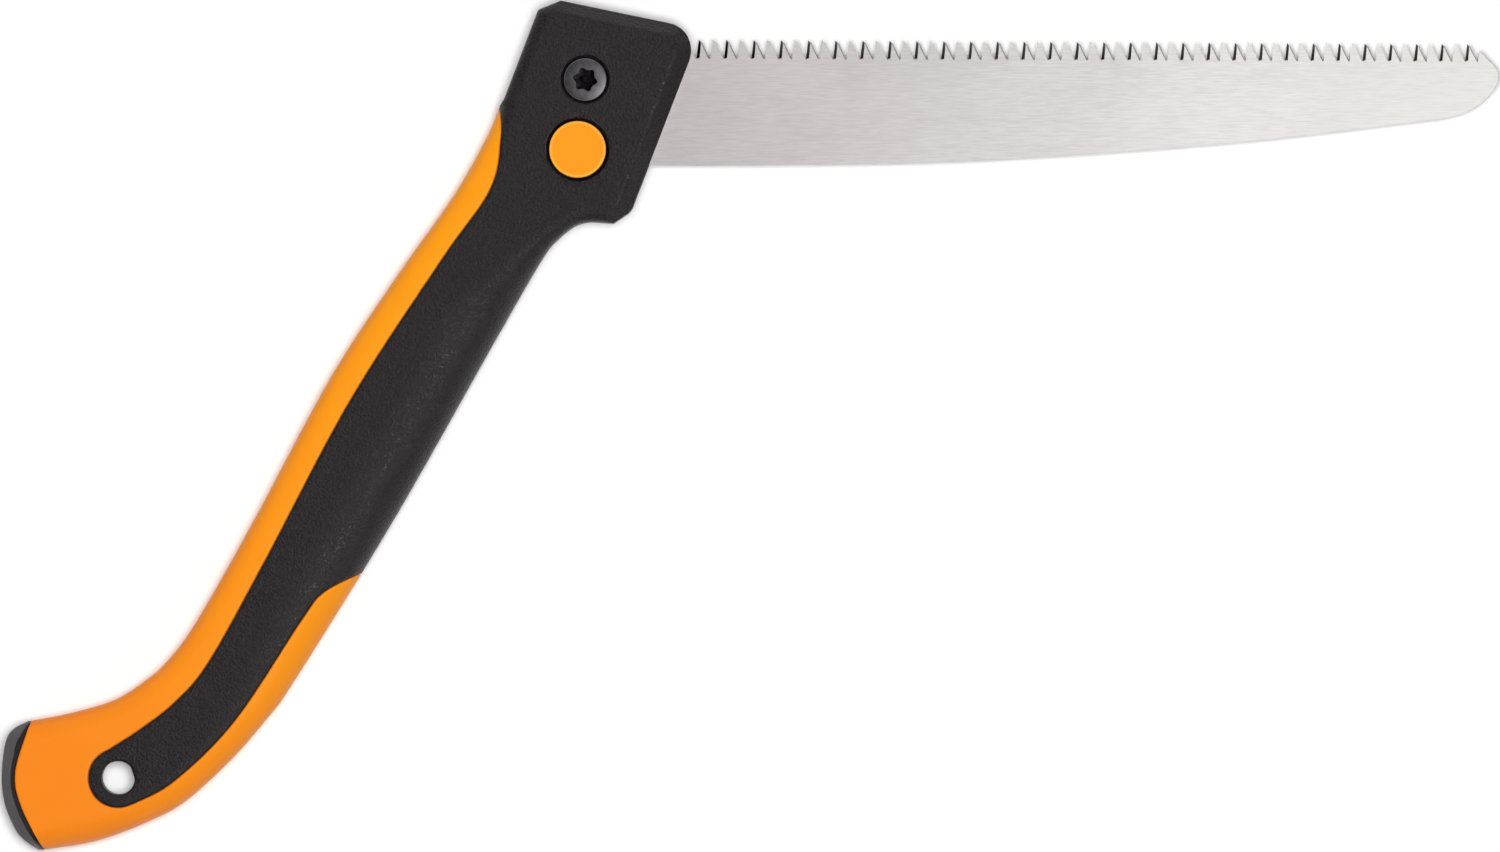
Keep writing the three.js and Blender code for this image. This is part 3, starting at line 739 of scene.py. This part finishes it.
def shell_screw(name, centre):
    """Screw from the back: head with a socket, plain shank, point."""
    count = 144
    socket = star(count, 1.25, 0.4, 0)
    return turned(name, centre, [
        (0, 4.3), (socket, 4.3), (socket, 3.1), (socket + 0.1, 3), (2.55, 3), (2.9, 3.25), (3, 3.5),
        (3, 5.1), (1.4, 5.1), (1.4, 18), (0, 19),
    ], count)


# ---- the blade -------------------------------------------------------------------------
TEETH = 60
FIRST_TIP = 36.1
PITCH = (4.38, 4.06)  # at the heel and at the nose
TIP_HEIGHT = (13.05, 11.5)
TOOTH_HEIGHT = (6.3, 5.7)
TANG_RADIUS = 17.3
NOTCH = 4.8  # radius of the two notches that the lock's collar stands in
NOTCH_STEPS = 24
BLADE_BORE = 6.3
SPINE = [(2.4, -26.9), (60, -27.0), (124, -25.6), (206, -19.9), (272.6, -12.2)]
NOSE = [(272.6, -12.2), (282, -10.7), (286.5, -7), (289.8, -2.2)]
NOSE_TIP = [(289.8, -2.2), (291.6, 0.6), (291.2, 3.6), (288, 6.1)]
SHOULDER = (28.6, 11.77)


def teeth():
    """Outline of the toothed edge from heel to nose, the same outline drawn in by the width of
    the ground facets, and a line under the roots. Each tooth has a steep flank, a short top and
    a long flank; `along` is in pitches and `down` in tooth heights."""
    i = np.arange(-1, TEETH)[:, None]
    ease = i / (TEETH - 1)
    pitch = PITCH[0] + (PITCH[1] - PITCH[0]) * ease
    tall = TOOTH_HEIGHT[0] + (TOOTH_HEIGHT[1] - TOOTH_HEIGHT[0]) * ease
    x = FIRST_TIP + PITCH[0] * i + (PITCH[1] - PITCH[0]) * i * ease / 2
    y = TIP_HEIGHT[0] + (TIP_HEIGHT[1] - TIP_HEIGHT[0]) * (x - FIRST_TIP) / (TEETH * PITCH[0])
    s, e = np.linspace(0, 1, 4)[1:-1], np.linspace(0, 1, 5)[1:-1]
    along = np.r_[-0.205, -0.166, -0.166 + 0.166 * s, 0, 0.251, 0.251 + 0.527 * e, 0.778]
    down = np.r_[0.985, 0.955, 0.955 * (1 - s), 0, 0.155, 0.155 + 0.8 * e, 0.955]
    inset_x = np.r_[0.0, 1.0, 1.0 - 0.25 * s, 0.62, -0.1, -0.42 + 0.1 * e, -0.3]
    inset_y = np.r_[0.0, 0.25, 0.25 - 0.2 * s, -0.95, -0.72, -0.2 + 0.05 * e, -0.12]
    last = np.where(i == TEETH - 1, 2.3, 0.0)
    edge = np.stack([x + along * pitch, np.minimum(y - down * tall, y - last)], -1)
    inset = np.stack(np.broadcast_arrays(inset_x * tall / 6.3, inset_y * tall / 6.3), -1)
    inset = inset * (i[..., None] < TEETH - 1)
    under = np.linspace(-0.2, 0.7, len(along))
    base = np.stack([x + under * pitch, y - tall - 0.5 + 0 * under], -1)
    return edge, edge + inset, base, i[:, 0] % 2 == 0


def blade():
    """Front and back outlines, each joined to the line down the middle of the blade and to the
    pivot hole; between them runs the wall, which is a sloping facet on the ground teeth. Faces
    off the flat are marked for the ground finish and for painted shade, fully on the flanks that
    face the heel and less on the others."""
    edge, drawn, base, visible = teeth()
    front = np.where(visible[:, None, None], drawn, edge).reshape(-1, 2)[:-5]
    back = np.where(visible[:, None, None], edge, drawn).reshape(-1, 2)[:-5]
    base = base.reshape(-1, 2)[:-5]
    heel = straight([SHOULDER, (29.6, 7), edge[0, 0]], 0.6)[:-1]
    nose = bezier(NOSE_TIP, 16)[::-1]
    lead = np.linspace([26.0, 5.5], base[0], len(heel), endpoint=False)
    tail = np.linspace(base[-1], [284.5, 0.0], len(nose))[1:]
    base = np.vstack([lead, base, tail])
    front, back = (np.vstack([heel, line, nose[:-1]]) for line in (front, back))
    count = len(front)
    spine = resample(chain(through(SPINE), bezier(NOSE)), count)[::-1]

    turn = math.degrees(FOLD)
    open_at, shut_at = angle(LOCK) + 360, angle(LOCK) + 360 - turn
    shut = np.hypot(*LOCK) * towards(shut_at)
    tang = np.vstack([
        arc(LOCK, NOTCH, 0, open_at - 180, NOTCH_STEPS),
        arc((0, 0), TANG_RADIUS, open_at, shut_at, 110),
        arc(shut, NOTCH, shut_at - 180, 0, NOTCH_STEPS),
    ])
    seam = -8  # where the line down the middle meets the bore
    start = BLADE_BORE * towards(seam)
    line = start + (np.array([283.0, -2.5]) - start) * np.linspace(0, 1, count + 1)[:, None]
    bore = arc((0, 0), BLADE_BORE, seam, seam - 360, len(tang) + 1)[1:]
    inner = np.vstack([line, line[-2::-1], bore])
    half = (inner[count:] + np.vstack([nose[-1:], spine, tang])) / 2
    half[-NOTCH_STEPS:] = arc(shut, NOTCH + 2.5, shut_at - 180, -30, NOTCH_STEPS)
    between = np.vstack([base, half])
    front, back = (np.vstack([top, nose[-1:], spine, tang]) for top in (front, back))
    on_bore = np.arange(len(inner)) >= 2 * count
    low, high = corners("blade")[0][2], corners("blade")[1][2]
    rings = [(inner, high), (between, high), (front, high), (back, low), (between, low), (inner, low)]
    points = np.vstack([np.column_stack([p, np.full(len(p), z)]) for p, z in rings])
    obj = add_mesh("blade_ground", points, ring_faces(len(rings), len(inner), on_bore), 12)
    normal = of_faces(obj.data, "normal")
    # painted shade: faces that face the heel get the full dark of the ground facets, the others less
    flank = np.where(normal[:, 0] < 0, 1, 0.7)
    return marked(obj, "ground_and_shade", np.where(np.abs(normal[:, 2]) > 0.999, 0, flank))


# ---- shading ---------------------------------------------------------------------------
class Value:
    """A shader socket that takes part in arithmetic by making Math nodes."""

    def __init__(self, paint, socket):
        self.paint, self.socket = paint, socket

    def math(self, operation, *others):
        node = self.paint.node("ShaderNodeMath", [self, *others], operation=operation)
        return Value(self.paint, node.outputs[0])

    def __add__(self, other): return self.math("ADD", other)
    def __sub__(self, other): return self.math("SUBTRACT", other)
    def __mul__(self, other): return self.math("MULTIPLY", other)
    def __truediv__(self, other): return self.math("DIVIDE", other)
    def __pow__(self, other): return self.math("POWER", other)
    def __neg__(self): return self.math("MULTIPLY", -1.0)
    def __radd__(self, other): return self + other
    def __rmul__(self, other): return self * other
    def __rsub__(self, other): return -self + other
    def __rtruediv__(self, other): return self ** -1.0 * other

    def ramp(self, low, high):
        """0 below `low`, 1 above `high`, an S-curve between."""
        node = self.paint.node("ShaderNodeMapRange", {"Value": self, "From Min": low, "From Max": high},
                               interpolation_type="SMOOTHSTEP")
        return Value(self.paint, node.outputs[0])


class Paint:
    """A procedural material. Lengths in its patterns are in millimetres."""

    def __init__(self, name, roughness, metallic=0.0, **constants):
        self.material = bpy.data.materials.new(name)
        self.material.use_nodes = True
        self.tree = self.material.node_tree
        self.shader = self.tree.nodes["Principled BSDF"]
        self.shader.inputs["Roughness"].default_value = roughness
        self.shader.inputs["Metallic"].default_value = metallic
        for key, value in constants.items():
            self.shader.inputs[key.replace("_", " ")].default_value = value
        place = self.node("ShaderNodeTexCoord").outputs["Object"]
        self.place = self.times(place, (1 / MM, 1 / MM, 1 / MM))

    def node(self, kind, inputs=(), **settings):
        node = self.tree.nodes.new(kind)
        for key, value in settings.items():
            setattr(node, key, value)
        pairs = inputs.items() if isinstance(inputs, dict) else enumerate(inputs)
        for key, value in pairs:
            self.put(node.inputs[key], value)
        return node

    def put(self, socket, value):
        if isinstance(value, Value):
            value = value.socket
        if isinstance(value, bpy.types.NodeSocket):
            self.tree.links.new(value, socket)
        else:
            socket.default_value = value

    def times(self, vector, factors):
        return self.node("ShaderNodeVectorMath", [vector, factors], operation="MULTIPLY").outputs[0]

    def axis(self, name):
        return Value(self, self.node("ShaderNodeSeparateXYZ", [self.place]).outputs[name])

    def noise(self, scale, detail=2.0, squeeze=(1, 1, 1)):
        """Noise with `scale` lumps to a millimetre, drawn out along an axis by `squeeze` below 1."""
        at = self.times(self.place, squeeze)
        node = self.node("ShaderNodeTexNoise", {"Vector": at, "Scale": scale, "Detail": detail})
        return Value(self, node.outputs["Fac"])

    def attribute(self, name):
        return Value(self, self.node("ShaderNodeAttribute", attribute_name=name).outputs["Fac"])

    def mix(self, amount, low, high):
        node = self.node("ShaderNodeMix", data_type="RGBA")
        for socket, value in zip((0, 6, 7), (amount, low, high)):
            self.put(node.inputs[socket], value)
        return node.outputs[2]

    def bump(self, height, distance, strength=1.0):
        settings = {"Height": height, "Distance": distance * MM, "Strength": strength}
        self.put(self.shader.inputs["Normal"], self.node("ShaderNodeBump", settings).outputs[0])

    def feed(self, **sockets):
        for key, value in sockets.items():
            self.put(self.shader.inputs[key.replace("_", " ")], value)
        return self.material


def tone(red, green, blue):
    """Display colour, 0 to 255, as linear RGBA."""
    c = np.array([red, green, blue]) / 255
    linear = np.where(c <= 0.04045, c / 12.92, ((c + 0.055) / 1.055) ** 2.4)
    return (*linear.tolist(), 1.0)


def moulded_orange(name):
    """Smooth polypropylene, a little redder towards the tail."""
    paint = Paint(name, 0.5, Specular_IOR_Level=0.12)
    along = (paint.axis("X") * -1.0).ramp(40, 180) * 0.8 + paint.noise(0.05, 1) * 0.2
    grain = paint.noise(2.2, 3)
    paint.bump(grain, 0.02, 0.5)
    return paint.feed(Base_Color=paint.mix(along, tone(249, 156, 18), tone(242, 131, 28)),
                      Roughness=grain * 0.12 + 0.38)


def button_orange(name):
    """The orange of the handle, with a painted highlight on the rim of the button."""
    paint = Paint(name, 0.45, Specular_IOR_Level=0.15)
    x, y = paint.axis("X") - LOCK[0], paint.axis("Y") - LOCK[1]
    # painted highlight: the rim ring is painted lighter where its bevel catches the light
    rim = ((x * x + y * y) ** 0.5).ramp(7.9, 8.5)
    grain = paint.noise(2.2, 3)
    paint.bump(grain, 0.02, 0.5)
    return paint.feed(Base_Color=paint.mix(rim, tone(246, 152, 24), tone(255, 176, 62)),
                      Roughness=grain * 0.12 + 0.36)


def soft_black(name, low=(12, 6, 8), high=(35, 28, 31)):
    """Rubber with a fine leathery grain."""
    paint = Paint(name, 0.6, Specular_IOR_Level=0.34)
    grain = paint.noise(1.3, 2).ramp(0.35, 0.65)
    fine = paint.noise(3.2, 2)
    paint.bump(grain * 0.7 + fine * 0.3, 0.2, 1.0)
    return paint.feed(Base_Color=paint.mix(grain * 0.5 + fine * 0.5, tone(*low), tone(*high)),
                      Roughness=0.38 + grain * 0.12)


def cap_plastic(name):
    """Hard black plastic; the bevel is painted light grey as a painted highlight where it catches the
    light, and the flat band beside the handle stays near black.
    """
    paint = Paint(name, 0.5, Specular_IOR_Level=0.25)
    grain = paint.noise(2.0, 2)
    # painted highlight: the bevel, off the band, is painted light grey
    bevel = 1.0 - paint.attribute("band")
    paint.bump(grain, 0.03, 0.5)
    return paint.feed(Base_Color=paint.mix(bevel * 0.8 + grain * 0.2, tone(5, 2, 3), tone(88, 85, 87)),
                      Roughness=0.42 + grain * 0.16)


def dark_steel(name):
    """Blackened steel, turned in fine rings, with a painted highlight on the chamfer ring round the
    pivot and painted shade down inside the socket of the bolt's head.
    """
    paint = Paint(name, 0.42, 0.85)
    x, y, z = (paint.axis(letter) for letter in "XYZ")
    reach = (x * x + y * y) ** 0.5
    rings = (reach * 18.0).math("SINE") * 0.5 + 0.5
    cloud = paint.noise(0.8, 3)
    # painted shade: near black down inside the socket of the bolt's head
    inside = (z.ramp(22.6, 23.0) * (1.0 - z.ramp(25.2, 25.5))).ramp(0, 1)
    # painted highlight: the chamfer ring round the pivot, on the bolt's head and the nut, is painted
    # lighter
    edge = reach.ramp(6.45, 6.6) * (1.0 - reach.ramp(7.2, 7.4))
    cloud_and_chamfer_highlight = paint.mix(cloud * 0.4 + edge * 0.6, tone(66, 64, 66), tone(150, 148, 150))
    paint.bump(rings * 0.4 + cloud * 0.6, 0.01, 0.5)
    return paint.feed(Base_Color=paint.mix(inside, cloud_and_chamfer_highlight, tone(10, 10, 10)),
                      Roughness=0.36 + cloud * 0.16)


def bright_steel(name):
    """Clean steel of the pins, bushing and springs."""
    paint = Paint(name, 0.3, 1.0)
    cloud = paint.noise(1.5, 3)
    paint.bump(cloud, 0.01, 0.4)
    return paint.feed(Base_Color=paint.mix(cloud, tone(188, 186, 184), tone(214, 212, 210)),
                      Roughness=0.24 + cloud * 0.14)


def washer_plastic(name):
    """Pale slick plastic of the washers beside the blade."""
    paint = Paint(name, 0.55)
    cloud = paint.noise(0.8, 2)
    paint.bump(cloud, 0.02, 0.4)
    return paint.feed(Base_Color=paint.mix(cloud, tone(226, 222, 210), tone(238, 234, 224)),
                      Roughness=0.5 + cloud * 0.12)


def blade_steel(name):
    """Plated steel brushed lengthwise; its tone along the blade is painted to set the brightness of its
    reflection, a shade lower at the heel and darker at the nose. The ground facets are brushed across
    and painted dark as painted shade.
    """
    paint = Paint(name, 0.4, 1.0)
    ground_and_shade = paint.attribute("ground_and_shade")
    lengthwise = paint.noise(2.6, 4, (0.07, 1, 1))
    across = paint.noise(5.0, 2, (1, 0.1, 0.1))
    cloud = paint.noise(0.05, 3, (0.4, 1, 1))
    brushed = lengthwise * (1.0 - ground_and_shade) + across * ground_and_shade
    # painted reflection: the tone along the blade sets how bright its reflection looks, a shade lower at
    # the heel and darker at the nose, where the sheen lamp adds to it
    face = paint.mix(paint.axis("X").ramp(20, 150), tone(210, 203, 203), tone(211, 208, 207))
    face = paint.mix(paint.axis("X").ramp(190, 285), face, tone(196, 196, 192))
    streaked = paint.mix((brushed * 0.8 + cloud * 0.3).ramp(0.35, 0.8) * 0.55, face, tone(178, 173, 173))
    paint.bump(brushed, 0.02, 0.6)
    # painted shade: the ground facets are painted near black, fully where they face the heel
    return paint.feed(Base_Color=paint.mix(ground_and_shade, streaked, tone(42, 40, 40)),
                      Roughness=0.32 + brushed * 0.14 - ground_and_shade * 0.08)


def floor_card(name):
    """White card with hardly any variation."""
    paint = Paint(name, 0.9, Specular_IOR_Level=0.1)
    cloud = paint.noise(0.004, 2)
    return paint.feed(Base_Color=paint.mix(cloud, tone(251, 251, 251), tone(253, 253, 253)))


ORANGE = moulded_orange("orange_moulding")
BUTTON = button_orange("button_moulding")
BLACK = soft_black("grained_rubber")
CAP = cap_plastic("cap_moulding")
DARK = dark_steel("blackened_steel")
STEEL = bright_steel("bright_steel")
WASHER = washer_plastic("washer_plastic")
BLADE = blade_steel("brushed_blade")


def finish(obj, material, slot, *nodes, body="handle"):
    """Dresses a new piece, hangs it on its body and hides the CAD nodes that it stands for."""
    obj.data.materials.clear()
    obj.data.materials.append(material)
    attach(obj, body)
    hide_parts(*nodes)


for half in ("front", "back"):
    finish(hard_core(half), ORANGE, "orange_core", f"handle_core_{half}")
    finish(soft_grip(half), BLACK, "soft_grip", f"soft_grip_{half}")
finish(tail_cap(), CAP, "tail_cap", "tail_cap")
finish(pivot_bolt(), DARK, "dark_steel", "pivot_bolt")
finish(pivot_nut(), DARK, "dark_steel", "pivot_nut")
for label, place in zip(("upper", "middle", "lower"), SCREWS):
    finish(shell_screw(f"screw_{label}", place), DARK, "dark_steel", f"shell_screw_{label}")
finish(lock_button(), BUTTON, "button_orange", "lock_button", body="lock")
finish(blade(), BLADE, "blade_steel", "blade", body="blade")
coil = lock_spring()
finish(coil, STEEL, "plain_steel", "lock_spring")
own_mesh(coil)

KEPT = {
    "pivot_bushing": STEEL, "pivot_spring_washer": STEEL, "blade_stop_pin": STEEL, "lock_plunger": STEEL,
    "spring_seat": STEEL, "blade_washer_back": WASHER, "blade_washer_front": WASHER,
}
for label, material in KEPT.items():
    node = bpy.data.objects[label]
    for held in node.material_slots:
        held.material = material


# ---- stage ------------------------------------------------------------------------------
def aimed(obj, place, target):
    """Puts a lamp or camera at a place, looking at a target, both in metres."""
    obj.location = place
    obj.rotation_euler = (Vector(target) - Vector(place)).to_track_quat("-Z", "Y").to_euler()
    bpy.context.scene.collection.objects.link(obj)


def softbox(name, place, target, size, power):
    data = bpy.data.lights.new(name, "AREA")
    data.shape, data.size, data.size_y, data.energy = "RECTANGLE", *size, power
    lamp = bpy.data.objects.new(name, data)
    lamp.visible_camera = False
    aimed(lamp, place, target)
    return lamp


floor_mesh = bpy.data.meshes.new("floor")
FLOOR = 60  # half of its width
corners_of_floor = [(-FLOOR, -FLOOR, 0), (FLOOR, -FLOOR, 0), (FLOOR, FLOOR, 0), (-FLOOR, FLOOR, 0)]
floor_mesh.from_pydata(corners_of_floor, [], [(0, 1, 2, 3)])
floor = bpy.data.objects.new("floor", floor_mesh)
floor_mesh.materials.append(floor_card("floor_card"))
bpy.context.scene.collection.objects.link(floor)

CENTRE = (0.0524, -0.1101, MID * MM)
LAMPS = [  # name, place, target, size, watts, and the kind of ray that doesn't meet it
    ("key", (*CENTRE[:2], 3.2), CENTRE, (0.65, 0.65), 97, "visible_glossy"),
    ("ceiling", (0.95, -0.5, 3.1), (0.95, -0.5, 0), (1.6, 2.6), 15.5, "visible_diffuse"),
    ("sheen", (1.25, -0.6, 2.65), CENTRE, (0.7, 0.7), 38, "visible_diffuse"),
    ("side", (0.2, 2.4, 0.9), CENTRE, (3.0, 1.2), 26, "visible_diffuse"),
    ("left", (-2.2, 1.8, 1.2), CENTRE, (2.6, 1.5), 12, "visible_diffuse"),
    ("right", (2.2, -1.9, 0.9), CENTRE, (2.6, 1.2), 2, "visible_diffuse"),
]
for *lamp, unmet in LAMPS:
    setattr(softbox(*lamp), unmet, False)

world = bpy.data.worlds.new("studio")
bpy.context.scene.world = world
world.use_nodes = True
background = world.node_tree.nodes["Background"]
background.inputs["Color"].default_value = (1, 1, 1, 1)
background.inputs["Strength"].default_value = 0.13
bpy.context.scene.view_settings.view_transform = "Standard"

DISTANCE = 5.0
WIDTH = 0.47805  # of the view, in the plane of the blade
SENSOR = 36
camera_data = bpy.data.cameras.new("camera")
camera_data.sensor_width = SENSOR
camera_data.lens = SENSOR * DISTANCE / WIDTH
camera_data.clip_end = 200
camera = bpy.data.objects.new("camera", camera_data)
camera.location = (CENTRE[0], CENTRE[1], CENTRE[2] + DISTANCE)
bpy.context.scene.collection.objects.link(camera)
bpy.context.scene.camera = camera
